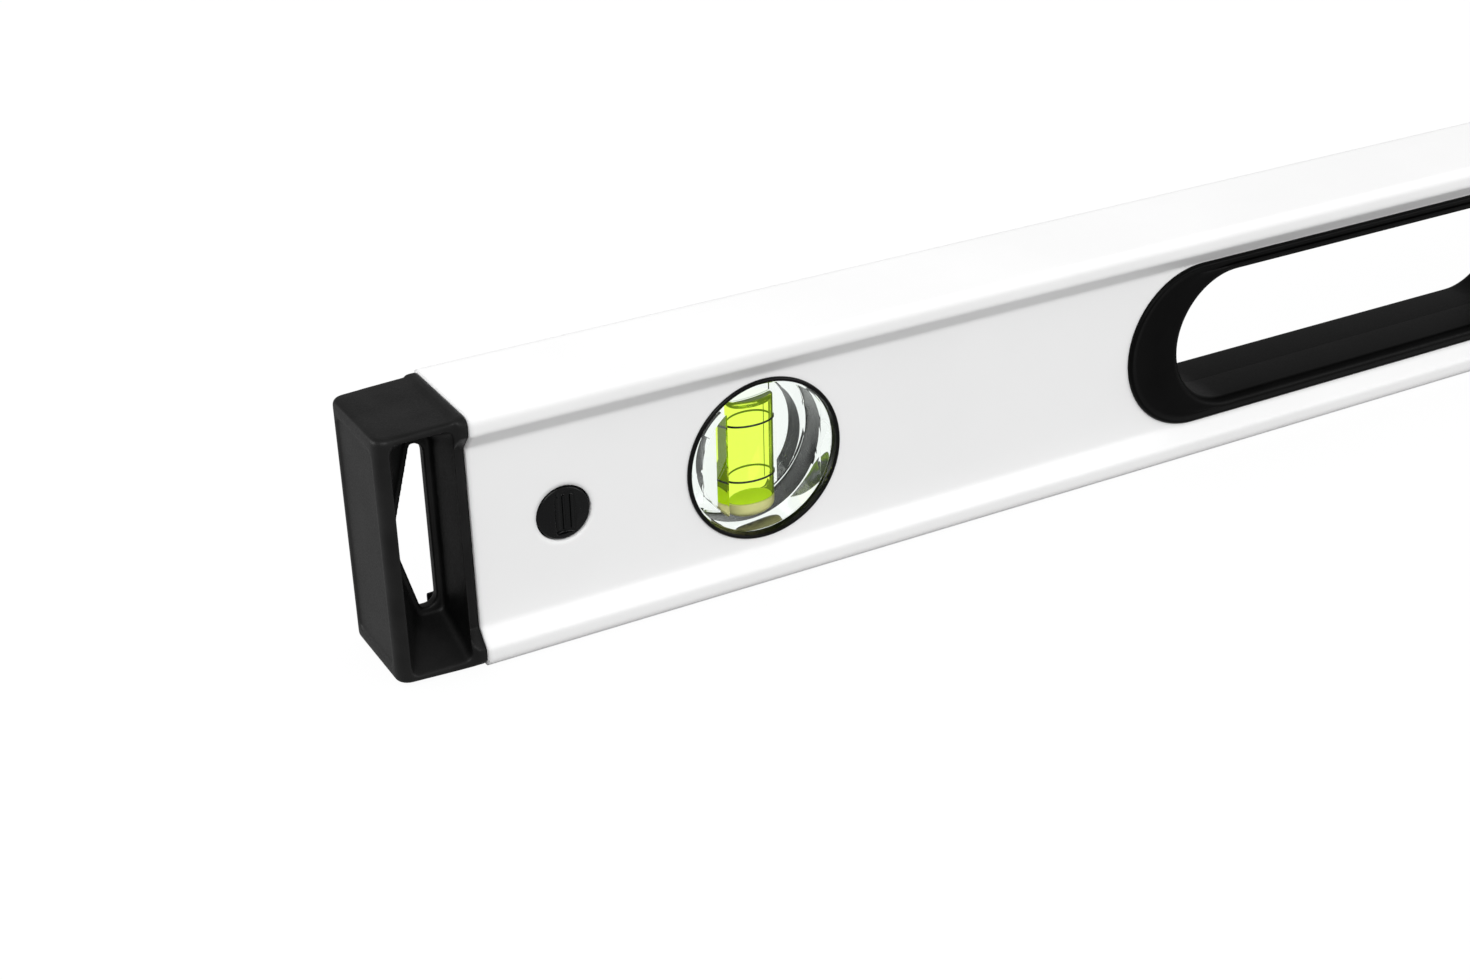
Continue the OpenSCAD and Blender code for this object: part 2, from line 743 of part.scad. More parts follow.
module module_front() {
  color("#1c1d1f") at_module() difference() {
    union() {
      tray(-seal_y);
      screw_places() rotate([90, 0, 0]) translate([0, 0, -seal_y])
        cylinder(r = boss_r, h = plate_in + seal_y + over);
    }
    along_y(-face_y - over, -face_y + window_t + 0.1) window_outline(0);
    along_y(-beam_w, -plate_in + over) window_outline(ledge_w);
    for (i = [0:3]) along_y(-beam_w, -plate_in + over) key_outline(i, key_gap);
    screw_places() rotate([90, 0, 0]) cylinder(r = screw_r + 0.02, h = plate_in - 1);
  }
}

module display_window() {
  color("#cfd8d6") at_module() along_y(-face_y + 0.1, -face_y + 0.1 + window_t) window_outline(0.1);
}

module display_panel() {
  color("#9aa592") at_module() translate([0, 0, window_z - mid_z])
    along_y(-plate_in, board_y) square([window_len - 1, window_h + 1], center = true);
}

module circuit_board() {
  color("#2e6b3c") at_module() difference() {
    along_y(board_y, board_y + board_t) square([2 * screw_x - 6, 2 * board_half], center = true);
    for (z = [-1, 1]) translate([0, 0, z * open_h / 2]) rotate([90, 0, 0])
      cylinder(r = 3, h = beam_w, center = true);
  }
}

module tilt_sensor() {
  color("#202020") at_module()
    block([-24, -15], [board_y + board_t, board_y + board_t + sensor_t],
      [board_half - 11.5, board_half - 2.5]);
}

module buzzer() {
  color("#111111") at_module() translate([26, board_y + board_t, 8.5 - board_half]) rotate([-90, 0, 0])
    difference() {
      cylinder(r = 5.5, h = buzzer_t - 0.9);
      translate([0, 0, buzzer_t - 1.6]) cylinder(r = 1, h = 1);
    }
}

module key_mat() {
  color("#6f7377") at_module() difference() {
    union() {
      along_y(board_y - mat_t, board_y)
        translate([0, key_z - mid_z]) square([3 * key_pitch + key_len + 2, key_h + 2 * mat_rim], center = true);
      for (i = [0:3]) translate([(i - 1.5) * key_pitch, board_y - mat_t + over, key_z - mid_z])
        rotate([90, 0, 0]) cylinder(r1 = 2.6, r2 = 1.8, h = dome_h);
    }
    for (i = [0:3]) translate([(i - 1.5) * key_pitch, board_y + over, key_z - mid_z])
      rotate([90, 0, 0]) cylinder(r = 1.6, h = mat_t);
  }
}

module key(i) {
  color("#4a4d50") at_module() {
    along_y(-face_y - key_proud, -plate_in + 0.05 + over) key_outline(i, 0);
    along_y(-plate_in + 0.05, -plate_in + 0.05 + key_flange) key_outline(i, 0.9);
    translate([(i - 1.5) * key_pitch, board_y - mat_t - dome_h - 0.02, key_z - mid_z])
      rotate([90, 0, 0])
        cylinder(r = 1.8, h = board_y - mat_t - dome_h - 0.02 + plate_in - 0.05 - key_flange + over);
  }
}

module module_seal() {
  color("#101010") at_module() difference() {
    along_y(seal_y, seal_y + seal_t)
      rounded(open_len - 2 * fit_gap, open_h - 2 * fit_gap, open_r - fit_gap);
    along_y(seal_y - over, seal_y + seal_t + over)
      rounded(open_len - 2 * (fit_gap + housing_wall), open_h - 2 * (fit_gap + housing_wall), 2);
  }
}

module bay_outline(step) {
  square([2 * (bay_half + step), bay_h + 2 * step], center = true);
}

module module_back() {
  color("#1c1d1f") at_module() difference() {
    union() {
      mirror([0, 1, 0]) tray(seal_y + seal_t);
      along_y(bay_floor - 1, plate_in + over) bay_outline(housing_wall);
      screw_places() rotate([-90, 0, 0]) translate([0, 0, seal_y + seal_t])
        cylinder(r = boss_r, h = plate_in - seal_y - seal_t + over);
    }
    along_y(bay_floor, face_y + over) bay_outline(0);
    // Opening for the door, with room for its lower edge to turn
    block([-door_len / 2, door_len / 2], [plate_in - over, face_y + over],
      [hinge_z - mid_z - 2.2, door_top - mid_z + door_gap]);
    translate([0, hinge_y, hinge_z - mid_z]) rotate([0, 90, 0])
      cylinder(r = hinge_r + hinge_gap, h = door_len + 2 * hinge_len + 0.2, center = true);
    translate([0, hinge_y, hinge_z - mid_z]) rotate([0, 90, 0])
      cylinder(r = hinge_r + barrel_t + door_gap, h = door_len, center = true);
    screw_places() rotate([-90, 0, 0]) translate([0, 0, seal_y]) cylinder(r = screw_r + 0.1, h = beam_w);
    screw_places() rotate([-90, 0, 0]) translate([0, 0, face_y - 1.4]) cylinder(r = 2.3, h = 2);
  }
}

// The door turns on two stub pins along its lower edge
module battery_door() {
  z = hinge_z - mid_z;
  width = door_len - 2 * door_gap;
  color("#1c1d1f") at_module() {
    difference() {
      block([-width / 2, width / 2], [face_y - door_t, face_y], [z - 1, z + door_h]);
      translate([0, face_y + 3, z + door_h - 5]) rotate([0, 90, 0])
        cylinder(r = 3.5, h = 14, center = true);
    }
    translate([0, hinge_y, z]) rotate([0, 90, 0]) {
      cylinder(r = hinge_r, h = door_len + 2 * hinge_len, center = true);
      for (side = [-1, 1]) translate([0, 0, side * (width / 2 - 5)])
        cylinder(r = hinge_r + barrel_t, h = 10, center = true);
    }
  }
}

module battery(row) {
  color("#b7bcc0") at_module() translate([0, cell_y, row * cell_pitch / 2]) rotate([0, 90 * row, 0]) {
    cylinder(r = cell_r, h = cell_len - 1.2, center = true);
    cylinder(r = 1.9, h = cell_len / 2 + 0.1);
  }
}

module contact_springs() {
  reach = bay_half - cell_len / 2;
  color("silver") at_module() for (row = [-1, 1])
    translate([-row * bay_half, cell_y, row * cell_pitch / 2]) rotate([0, 90 * row, 0])
      for (i = [0:2]) translate([0, 0, i * reach / 3]) difference() {
        cylinder(r = 3.4 - 0.6 * i, h = reach / 3 + 0.3);
        translate([0, 0, -over]) cylinder(r = 2.2 - 0.6 * i, h = reach / 3 + 0.4);
      }
}

module contact_plates() {
  color("silver") at_module() for (row = [-1, 1])
    translate([row * (bay_half - 0.25), cell_y, row * cell_pitch / 2])
      cube([0.5, 7, 8], center = true);
}

module module_screws() {
  color("#8d9296") at_module() screw_places() rotate([-90, 0, 0]) {
    translate([0, 0, face_y - 1.4]) difference() {
      cylinder(r = 2.1, h = 1.2);
      translate([0, 0, 0.6]) cylinder(r = 1.1, h = 1, $fn = 6);
    }
    translate([0, 0, -plate_in + 1.4]) cylinder(r = screw_r, h = plate_in - 1.4 + face_y - 1.3);
  }
}

beam();
end_cap(-1);  // end_cap_left
end_cap(1);  // end_cap_right
cap_plug(-1);  // cap_plug_left
cap_plug(1);  // cap_plug_right
release_latch(-1);  // release_latch_left
release_latch(1);  // release_latch_right
grip(-1, false);  // grip_front_left
grip(-1, true);  // grip_back_left
grip(1, false);  // grip_front_right
grip(1, true);  // grip_back_right
plumb_bezel(-1, false);  // plumb_bezel_front_left
plumb_bezel(-1, true);  // plumb_bezel_back_left
plumb_block(-1);  // plumb_block_left
plumb_liquid(-1);  // plumb_liquid_left
plumb_rings(-1);  // plumb_rings_left
plumb_stopper(-1);  // plumb_stopper_left
plumb_bezel(1, false);  // plumb_bezel_front_right
plumb_bezel(1, true);  // plumb_bezel_back_right
plumb_block(1);  // plumb_block_right
plumb_liquid(1);  // plumb_liquid_right
plumb_rings(1);  // plumb_rings_right
plumb_stopper(1);  // plumb_stopper_right
level_block();
level_liquid();
level_rings();
level_stopper();
level_carrier();
level_bezel(false);  // level_bezel_front
level_bezel(true);  // level_bezel_back
level_lens();
module_front();
module_back();
module_seal();
display_window();
display_panel();
circuit_board();
tilt_sensor();
buzzer();
key_mat();
key(0);  // key_power
key(1);  // key_zero
key(2);  // key_hold
key(3);  // key_unit
battery_door();
battery(1);  // battery_upper
battery(-1);  // battery_lower
contact_springs();
contact_plates();
module_screws();
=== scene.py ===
# Dressing for a digital spirit level: powder-coated box beam, moulded grips, dyed vials,
# rubber caps and a readout module, lit on a white studio floor.
import math

import bmesh
import bpy
import numpy as np
from mathutils import Matrix, Vector


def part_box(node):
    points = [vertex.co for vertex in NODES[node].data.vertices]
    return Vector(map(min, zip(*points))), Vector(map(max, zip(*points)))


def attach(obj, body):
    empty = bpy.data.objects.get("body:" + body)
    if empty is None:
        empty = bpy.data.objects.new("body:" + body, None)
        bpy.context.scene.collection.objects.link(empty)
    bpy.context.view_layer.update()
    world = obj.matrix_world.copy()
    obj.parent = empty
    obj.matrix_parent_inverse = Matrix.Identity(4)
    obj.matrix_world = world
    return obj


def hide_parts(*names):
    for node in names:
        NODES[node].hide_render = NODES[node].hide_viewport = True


bl_info = {
    "name": "Spirit level dressing",
    "version": (1, 0, 0),
    "blender": (4, 5, 0),
    "location": "3D View > Sidebar > Spirit level",
    "description": "Builds the looks of a digital spirit level round its packed solids",
    "category": "Object",
}

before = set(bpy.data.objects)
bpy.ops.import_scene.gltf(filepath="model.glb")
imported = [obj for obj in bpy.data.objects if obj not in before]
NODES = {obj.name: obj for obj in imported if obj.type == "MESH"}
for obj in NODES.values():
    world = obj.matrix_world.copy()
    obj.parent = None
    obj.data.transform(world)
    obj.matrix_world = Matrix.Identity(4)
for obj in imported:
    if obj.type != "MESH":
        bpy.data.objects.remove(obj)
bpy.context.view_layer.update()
MM = 0.001
ENDS = (("left", -1), ("right", 1))
FACES = (("front", -1), ("back", 1))


def extent(name, axis):
    """Low and high of a solid along one axis, in millimetres."""
    low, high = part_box(name)
    return low[axis] / MM, high[axis] / MM


def span(name, axis):
    """Size of a solid along one axis, in millimetres."""
    low, high = extent(name, axis)
    return high - low


def middle(name, axis):
    """Middle of a solid along one axis, in millimetres."""
    return sum(extent(name, axis)) / 2


MID_Z = extent("beam", 2)[1] / 2
GRIP_X = middle("grip_front_right", 0)
GRIP_LENGTH = span("grip_front_right", 0)
GRIP_RADIUS = span("grip_front_right", 2) / 2
GRIP_FACE = -extent("grip_front_right", 1)[0]
VIAL_X = middle("plumb_block_right", 0)
VIAL_Z = middle("plumb_block_right", 2)
BEZEL_RADIUS = span("plumb_bezel_front_right", 0) / 2
BEZEL_FACE = -extent("plumb_bezel_front_right", 1)[0]
BLOCK_RADIUS = span("plumb_block_right", 0) / 2
BLOCK_HALF = extent("plumb_block_right", 1)[1]
LIQUID_RADIUS = extent("plumb_liquid_right", 1)[1]
LIQUID_LOW, LIQUID_TOP = (v - VIAL_Z for v in extent("plumb_liquid_right", 2))
# The scene's clear disc reaches further out than the solid, up to a thin black ring
CLEAR_RADIUS = BEZEL_RADIUS - 1.2
RING_WIDTH = 1.0
WEB_FACE = 11.6
# Where the display's digits stand, how far they slant, and the depths of a printed line over a face
DIGIT_Z, SLANT = 35.6, 0.11
PRINT_LOW, PRINT_HIGH = 0.01, 0.03
# Refractive indices: acrylic, the vial's liquid, and the powder coat
ACRYLIC_IOR, LIQUID_IOR, COAT_IOR = 1.49, 1.4, 1.5
# Clouds of colour are this many times as wide as the grain
CLOUD_GRAINS = 24


# Colours and materials


def linear(code):
    """An sRGB hex colour as linear red, green, blue and alpha."""
    parts = [int(code[i:i + 2], 16) / 255 for i in (0, 2, 4)]
    return [c / 12.92 if c <= 0.04045 else ((c + 0.055) / 1.055) ** 2.4 for c in parts] + [1.0]


def add(tree, kind, settings=None, links=None):
    """Adds a node with its settings, and links named or numbered inputs to other sockets."""
    made = tree.nodes.new(kind)
    for key, value in (settings or {}).items():
        if isinstance(key, str) and hasattr(made, key) and key not in made.inputs:
            setattr(made, key, value)
        else:
            made.inputs[key].default_value = value
    for key, source in (links or {}).items():
        tree.links.new(source, made.inputs[key])
    return made


def start(name):
    """A new material with its tree emptied, and its output node."""
    material = bpy.data.materials.new(name)
    material.use_nodes = True
    material.node_tree.nodes.clear()
    return material, material.node_tree, add(material.node_tree, "ShaderNodeOutputMaterial")


def ramp(tree, source, low, high, colours):
    """A colour ramp between two places, fed by a socket."""
    made = add(tree, "ShaderNodeValToRGB", links={"Fac": source})
    made.color_ramp.elements[0].position, made.color_ramp.elements[1].position = low, high
    made.color_ramp.elements[0].color, made.color_ramp.elements[1].color = colours
    return made.outputs["Color"]


def grey(level):
    """An even grey as a colour."""
    return [level, level, level, 1.0]


def surfaced(name, dark, pale, grain_mm, rough, bump_mm, edge_mm=0.0, **shader):
    """An opaque finish: two close colours mottled by noise, roughness that varies with a grain of
    grain_mm, a bump bump_mm deep, and edges rounded by edge_mm where the light crosses them."""
    material, tree, out = start(name)
    place = add(tree, "ShaderNodeTexCoord").outputs["Object"]
    grain = add(tree, "ShaderNodeTexNoise", {"Scale": 1 / (grain_mm * MM), "Detail": 3.0},
                {"Vector": place}).outputs["Fac"]
    cloud = add(tree, "ShaderNodeTexNoise",
                {"Scale": 1 / (grain_mm * CLOUD_GRAINS * MM), "Detail": 2.0},
                {"Vector": place}).outputs["Fac"]
    colour = ramp(tree, cloud, 0.35, 0.65, (linear(dark), linear(pale)))
    roughness = ramp(tree, grain, 0.3, 0.7, (grey(rough[0]), grey(rough[1])))
    bump = add(tree, "ShaderNodeBump", {"Strength": 1.0, "Distance": bump_mm * MM},
               {"Height": grain})
    if edge_mm:
        edge = add(tree, "ShaderNodeBevel", {"samples": 6, "Radius": edge_mm * MM})
        tree.links.new(edge.outputs["Normal"], bump.inputs["Normal"])
    body = add(tree, "ShaderNodeBsdfPrincipled", shader,
               {"Base Color": colour, "Roughness": roughness, "Normal": bump.outputs["Normal"]})
    tree.links.new(body.outputs["BSDF"], out.inputs["Surface"])
    return material


def clear(name, tint, ior, glow=0.0, glow_colour=None, shine=1.0):
    """A clear body that bends light by its IOR, tints it, and lets lamps through in its shadow;
    shine is the share of its surface reflection that is kept."""
    material, tree, out = start(name)
    settings = {"Base Color": linear(tint), "Roughness": 0.0, "IOR": ior,
                "Transmission Weight": 1.0, "Specular Tint": grey(shine)}
    # Painted glow: an even emission of glow_colour that shines the same lit or unlit, standing in
    # for a dye's fluorescence
    if glow:
        settings.update({"Emission Color": linear(glow_colour), "Emission Strength": glow})
    body = add(tree, "ShaderNodeBsdfPrincipled", settings)
    shade = add(tree, "ShaderNodeBsdfTransparent", {"Color": linear(tint)})
    ray = add(tree, "ShaderNodeLightPath")
    mix = add(tree, "ShaderNodeMixShader", links={
        0: ray.outputs["Is Shadow Ray"], 1: body.outputs["BSDF"], 2: shade.outputs["BSDF"]})
    tree.links.new(mix.outputs["Shader"], out.inputs["Surface"])
    return material


def wear(material, *names):
    """Puts a material on solids of the frame."""
    for name in names:
        data = NODES[name].data
        data.materials.clear()
        data.materials.append(material)


# Surfaces


def skin(name, points, material, smooth=40.0, close_rows=False):
    """A surface through a grid of points in millimetres, rows by columns by 3, or through
    several; each row is a closed loop. Coincident points at a pole are merged, open ends are
    filled, and faces point outwards."""
    verts, faces = [], []
    for grid in points if isinstance(points, list) else [points]:
        rows, cols = grid.shape[:2]
        index = len(verts) + np.arange(rows * cols).reshape(rows, cols)
        verts += (grid.reshape(-1, 3) * MM).tolist()
        index = np.hstack([index, index[:, :1]])
        if close_rows:
            index = np.vstack([index, index[:1]])
        faces += np.stack([index[:-1, :-1], index[:-1, 1:], index[1:, 1:], index[1:, :-1]],
                          -1).reshape(-1, 4).tolist()
        if not close_rows:
            for row, step in ((0, -1), (rows - 1, 1)):
                if np.ptp(grid[row], axis=0).max() > 1e-6:
                    faces.append(index[row, :cols][::step].tolist())
    mesh = bpy.data.meshes.new(name)
    mesh.from_pydata(verts, [], faces)
    mesh.validate()
    work = bmesh.new()
    work.from_mesh(mesh)
    bmesh.ops.remove_doubles(work, verts=work.verts, dist=1e-7)
    bmesh.ops.dissolve_degenerate(work, edges=work.edges, dist=1e-8)
    bmesh.ops.recalc_face_normals(work, faces=work.faces)
    if work.calc_volume(signed=True) < 0:
        bmesh.ops.reverse_faces(work, faces=work.faces)
    work.to_mesh(mesh)
    work.free()
    made = bpy.data.objects.new(name, mesh)
    bpy.context.scene.collection.objects.link(made)
    mesh.materials.append(material)
    mesh.shade_smooth()
    mesh.set_sharp_from_angle(angle=math.radians(smooth))
    return made


def moulded(name, solid, cell_mm, passes, material):
    """A copy of a solid with its corners melted round: merged, rebuilt in even cells of cell_mm,
    then each point moved halfway to its neighbours' middle a number of times."""
    mesh = NODES[solid].data.copy()
    work = bmesh.new()
    work.from_mesh(mesh)
    bmesh.ops.remove_doubles(work, verts=work.verts, dist=1e-6)
    work.to_mesh(mesh)
    work.free()
    rough = bpy.data.objects.new(name + "_rough", mesh)
    bpy.context.scene.collection.objects.link(rough)
    cells = rough.modifiers.new("cells", "REMESH")
    cells.mode, cells.voxel_size, cells.adaptivity = "VOXEL", cell_mm * MM, 0.0
    soften = rough.modifiers.new("soften", "SMOOTH")
    soften.factor, soften.iterations = 0.5, passes
    graph = bpy.context.evaluated_depsgraph_get()
    done = bpy.data.meshes.new_from_object(rough.evaluated_get(graph))
    bpy.data.objects.remove(rough)
    made = bpy.data.objects.new(name, done)
    bpy.context.scene.collection.objects.link(made)
    done.materials.clear()
    done.materials.append(material)
    done.shade_smooth()
    return made


def finished(piece, body, slot, *nodes):
    """Rides a piece on its body and lets it stand for its solids."""
    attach(piece, body)
    if nodes:
        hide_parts(*nodes)
    return piece


def bow(x, y, radius, first, last, steps):
    """Points along an arc about (x, y), angles in degrees."""
    turn = np.radians(np.linspace(first, last, steps))
    return np.stack([x + radius * np.cos(turn), y + radius * np.sin(turn)], -1).tolist()


def lathed(profile, steps=128):
    """A closed profile of (radius, depth) turned about the Y axis; depth goes along -Y."""
    profile = np.array(profile)
    turn = np.linspace(0, 2 * math.pi, steps, endpoint=False)
    radius, depth = profile[:, :1], profile[:, 1:]
    return np.stack([radius * np.cos(turn), -depth + 0 * turn, radius * np.sin(turn)], -1)


def track(length, radius, steps_end=40, steps_side=30):
    """Places and outward directions along a stadium: two straights joined by half circles."""
    half = length / 2 - radius
    turn = np.radians(np.linspace(-90, 90, steps_end, endpoint=False))
    right = np.stack([half + radius * np.cos(turn), radius * np.sin(turn)], -1)
    way = np.stack([np.cos(turn), np.sin(turn)], -1)
    run = np.linspace(half, -half, steps_side, endpoint=False)
    top = np.stack([run, radius + 0 * run], -1)
    up = np.stack([0 * run, 1 + 0 * run], -1)
    return np.vstack([right, top, -right, -top]), np.vstack([way, up, -way, -up])


def tape(path, width, low, high, closed=False):
    """A flat tape along (x, z) points from depth low to depth high, half its width to each side of
    the path; the width may be one number or one for each point."""
    path = np.array(path, float)
    ahead, behind = np.roll(path, -1, 0), np.roll(path, 1, 0)
    if not closed:
        ahead[-1], behind[0] = path[-1], path[0]
    way = (ahead - behind) / np.linalg.norm(ahead - behind, axis=1, keepdims=True)
    side = np.stack([-way[:, 1], way[:, 0]], -1) * np.reshape(width, (-1, 1)) / 2
    corners = [(path - side, low), (path - side, high), (path + side, high), (path + side, low)]
    return np.stack([np.stack([flat[:, 0], 0 * flat[:, 0] - depth, flat[:, 1]], -1)
                     for flat, depth in corners], 1)


def moved(points, x, z, back=False):
    """A grid put in place along X and Z, and turned to the back face."""
    points = points.copy()
    if back:
        points[..., 1] *= -1
    return points + np.array([x, 0, z])


# Settings that a user would change


class BeamSettings(bpy.types.PropertyGroup):
    coat: bpy.props.StringProperty(
        name="Coat colour", description="sRGB of the powder coat", default="EDEDED")
    peel: bpy.props.FloatProperty(
        name="Orange peel", description="Width of the coat's ripple in mm", default=1.4)


class CapSettings(bpy.types.PropertyGroup):
    rubber: bpy.props.StringProperty(
        name="Rubber colour", description="sRGB of the end caps", default="141414")
    grain: bpy.props.FloatProperty(
        name="Grain", description="Size of the spark-eroded grain in mm", default=0.35)


class GripSettings(bpy.types.PropertyGroup):
    plastic: bpy.props.StringProperty(
        name="Grip colour", description="sRGB of the hand grips", default="040404")
    crest: bpy.props.FloatProperty(
        name="Crest radius", description="Rounding of the hand hole in mm", default=2.2)


class VialSettings(bpy.types.PropertyGroup):
    dye: bpy.props.StringProperty(
        name="Dye", description="sRGB of the vial liquid", default="E8FB5E")
    # The dye's glow is a painted glow: an even emission, the same lit or unlit, that stands in for
    # the light a fluorescent dye gives back
    glow: bpy.props.FloatProperty(
        name="Painted dye glow", description="Light the dye gives back", default=0.1)


class StageSettings(bpy.types.PropertyGroup):
    sky: bpy.props.FloatProperty(
        name="Sky", description="Strength of the white surroundings", default=1.0)
    key: bpy.props.FloatProperty(
        name="Key lamp", description="Power of the front lamp in W", default=16.0)
    side: bpy.props.FloatProperty(
        name="End lamp", description="Power of the lamp at the end in W", default=9.0)
    low: bpy.props.FloatProperty(
        name="Low lamp", description="Power of the low lamp in W", default=5.5)


# Pieces


class LEVEL_OT_beam(bpy.types.Operator):
    """Coats the extruded beam"""
    bl_idname = "level.beam"
    bl_label = "Coat the beam"

    def execute(self, context):
        given = context.scene.level_beam
        # Satin polyester powder coat: pale, evenly soft highlights, a faint orange-peel ripple
        coat = surfaced("satin_powder_coat", "EBEBEB", given.coat, given.peel, (0.36, 0.44), 0.004,
                        edge_mm=1.8, **{"IOR": COAT_IOR})
        wear(coat, "beam")
        return {"FINISHED"}


class LEVEL_OT_caps(bpy.types.Operator):
    """Finishes the rubber end caps, their nylon plugs and the release latches"""
    bl_idname = "level.caps"
    bl_label = "Finish the end caps"

    def execute(self, context):
        given = context.scene.level_cap
        # Thermoplastic rubber from a spark-eroded mould: soft grey sheen, no sharp highlight
        rubber = surfaced("moulded_rubber", "0A0A0A", given.rubber, given.grain, (0.38, 0.54),
                          0.035, **{"Specular IOR Level": 0.26})
        # Glass-filled nylon: a little paler and drier than the rubber
        nylon = surfaced("filled_nylon", "262628", "2E2E30", 0.5, (0.5, 0.65), 0.02, edge_mm=0.3)
        # Acetal: dark, close-grained and slightly waxy
        acetal = surfaced("moulded_acetal", "020203", "040505", 0.3, (0.2, 0.3), 0.01,
                          **{"Specular IOR Level": 0.3})
        for end, _ in ENDS:
            cap = moulded(f"rubber_cap_{end}", f"end_cap_{end}", cell_mm=0.36, passes=5,
                          material=rubber)
            finished(cap, f"{end}_cap", "cap_rubber", f"end_cap_{end}")
            wear(nylon, f"cap_plug_{end}")
            button = moulded(f"release_button_{end}", f"release_latch_{end}", cell_mm=0.12,
                             passes=1, material=acetal)
            finished(button, f"{end}_latch", "button_plastic", f"release_latch_{end}")
        return {"FINISHED"}


class LEVEL_OT_grips(bpy.types.Operator):
    """Builds the four moulded grip shells"""
    bl_idname = "level.grips"
    bl_label = "Build the hand grips"

    def execute(self, context):
        given = context.scene.level_grip
        # Moulded polypropylene with a fine matt texture: near black, a thin sheen on its bead
        plastic = surfaced("textured_polypropylene", "020202", given.plastic, 0.4, (0.34, 0.46),
                           0.008, **{"Specular IOR Level": 0.08})
        hole_length, hole_radius = 133.0, GRIP_RADIUS - 4.2
        crest, bead, top = given.crest, 0.8, GRIP_FACE
        # Half the seam between the shells, the thickness of the flange, face and hole's wall, and
        # the skirt in the beam's slot: how far its two sides stand back, and its lowest depth
        seam, flange, face_t, wall = 0.03, 1.0, 2, 1.8
        skirt_out, skirt_in, skirt_low = 1.25, 2.2, 8.5
        # Each point: share of the way from the hole's path to the rim's, step outwards, depth. The
        # hole's wall bows in a little, and the face sags between its crest and its bead
        section = [(0, 0, seam), (0, -0.12, 3), (0, -0.05, 7)]
        section += [(0, x, y) for x, y in bow(crest, top - crest, crest, 180, 90, 10)]
        section += [(0.5, -0.2, top - 0.35), (1, -2.4, top - 0.42), (1, -1.9, top - 0.36)]
        section += [(1, x, y) for x, y in bow(-bead, top - bead, bead, 110, 0, 9)]
        section += [(1, 0, top - flange), (1, -skirt_out, top - flange), (1, -skirt_out, skirt_low),
                    (1, -skirt_in, skirt_low), (1, -skirt_in, top - face_t),
                    (0, wall, top - face_t), (0, wall, seam)]
        hole, hole_way = track(hole_length, hole_radius)
        rim, rim_way = track(GRIP_LENGTH, GRIP_RADIUS)
        rows = []
        for share, step, depth in section:
            flat = hole * (1 - share) + rim * share
            way = hole_way * (1 - share) + rim_way * share
            flat = flat + way * step
            rows.append(np.stack([flat[:, 0], 0 * flat[:, 0] - depth, flat[:, 1]], -1))
        points = np.array(rows)
        for end, side in ENDS:
            for face, way in FACES:
                made = skin(f"grip_shell_{face}_{end}",
                            moved(points, side * GRIP_X, MID_Z, way > 0),
                            plastic, smooth=50, close_rows=True)
                finished(made, "level", "grip_plastic", f"grip_{face}_{end}")
        return {"FINISHED"}


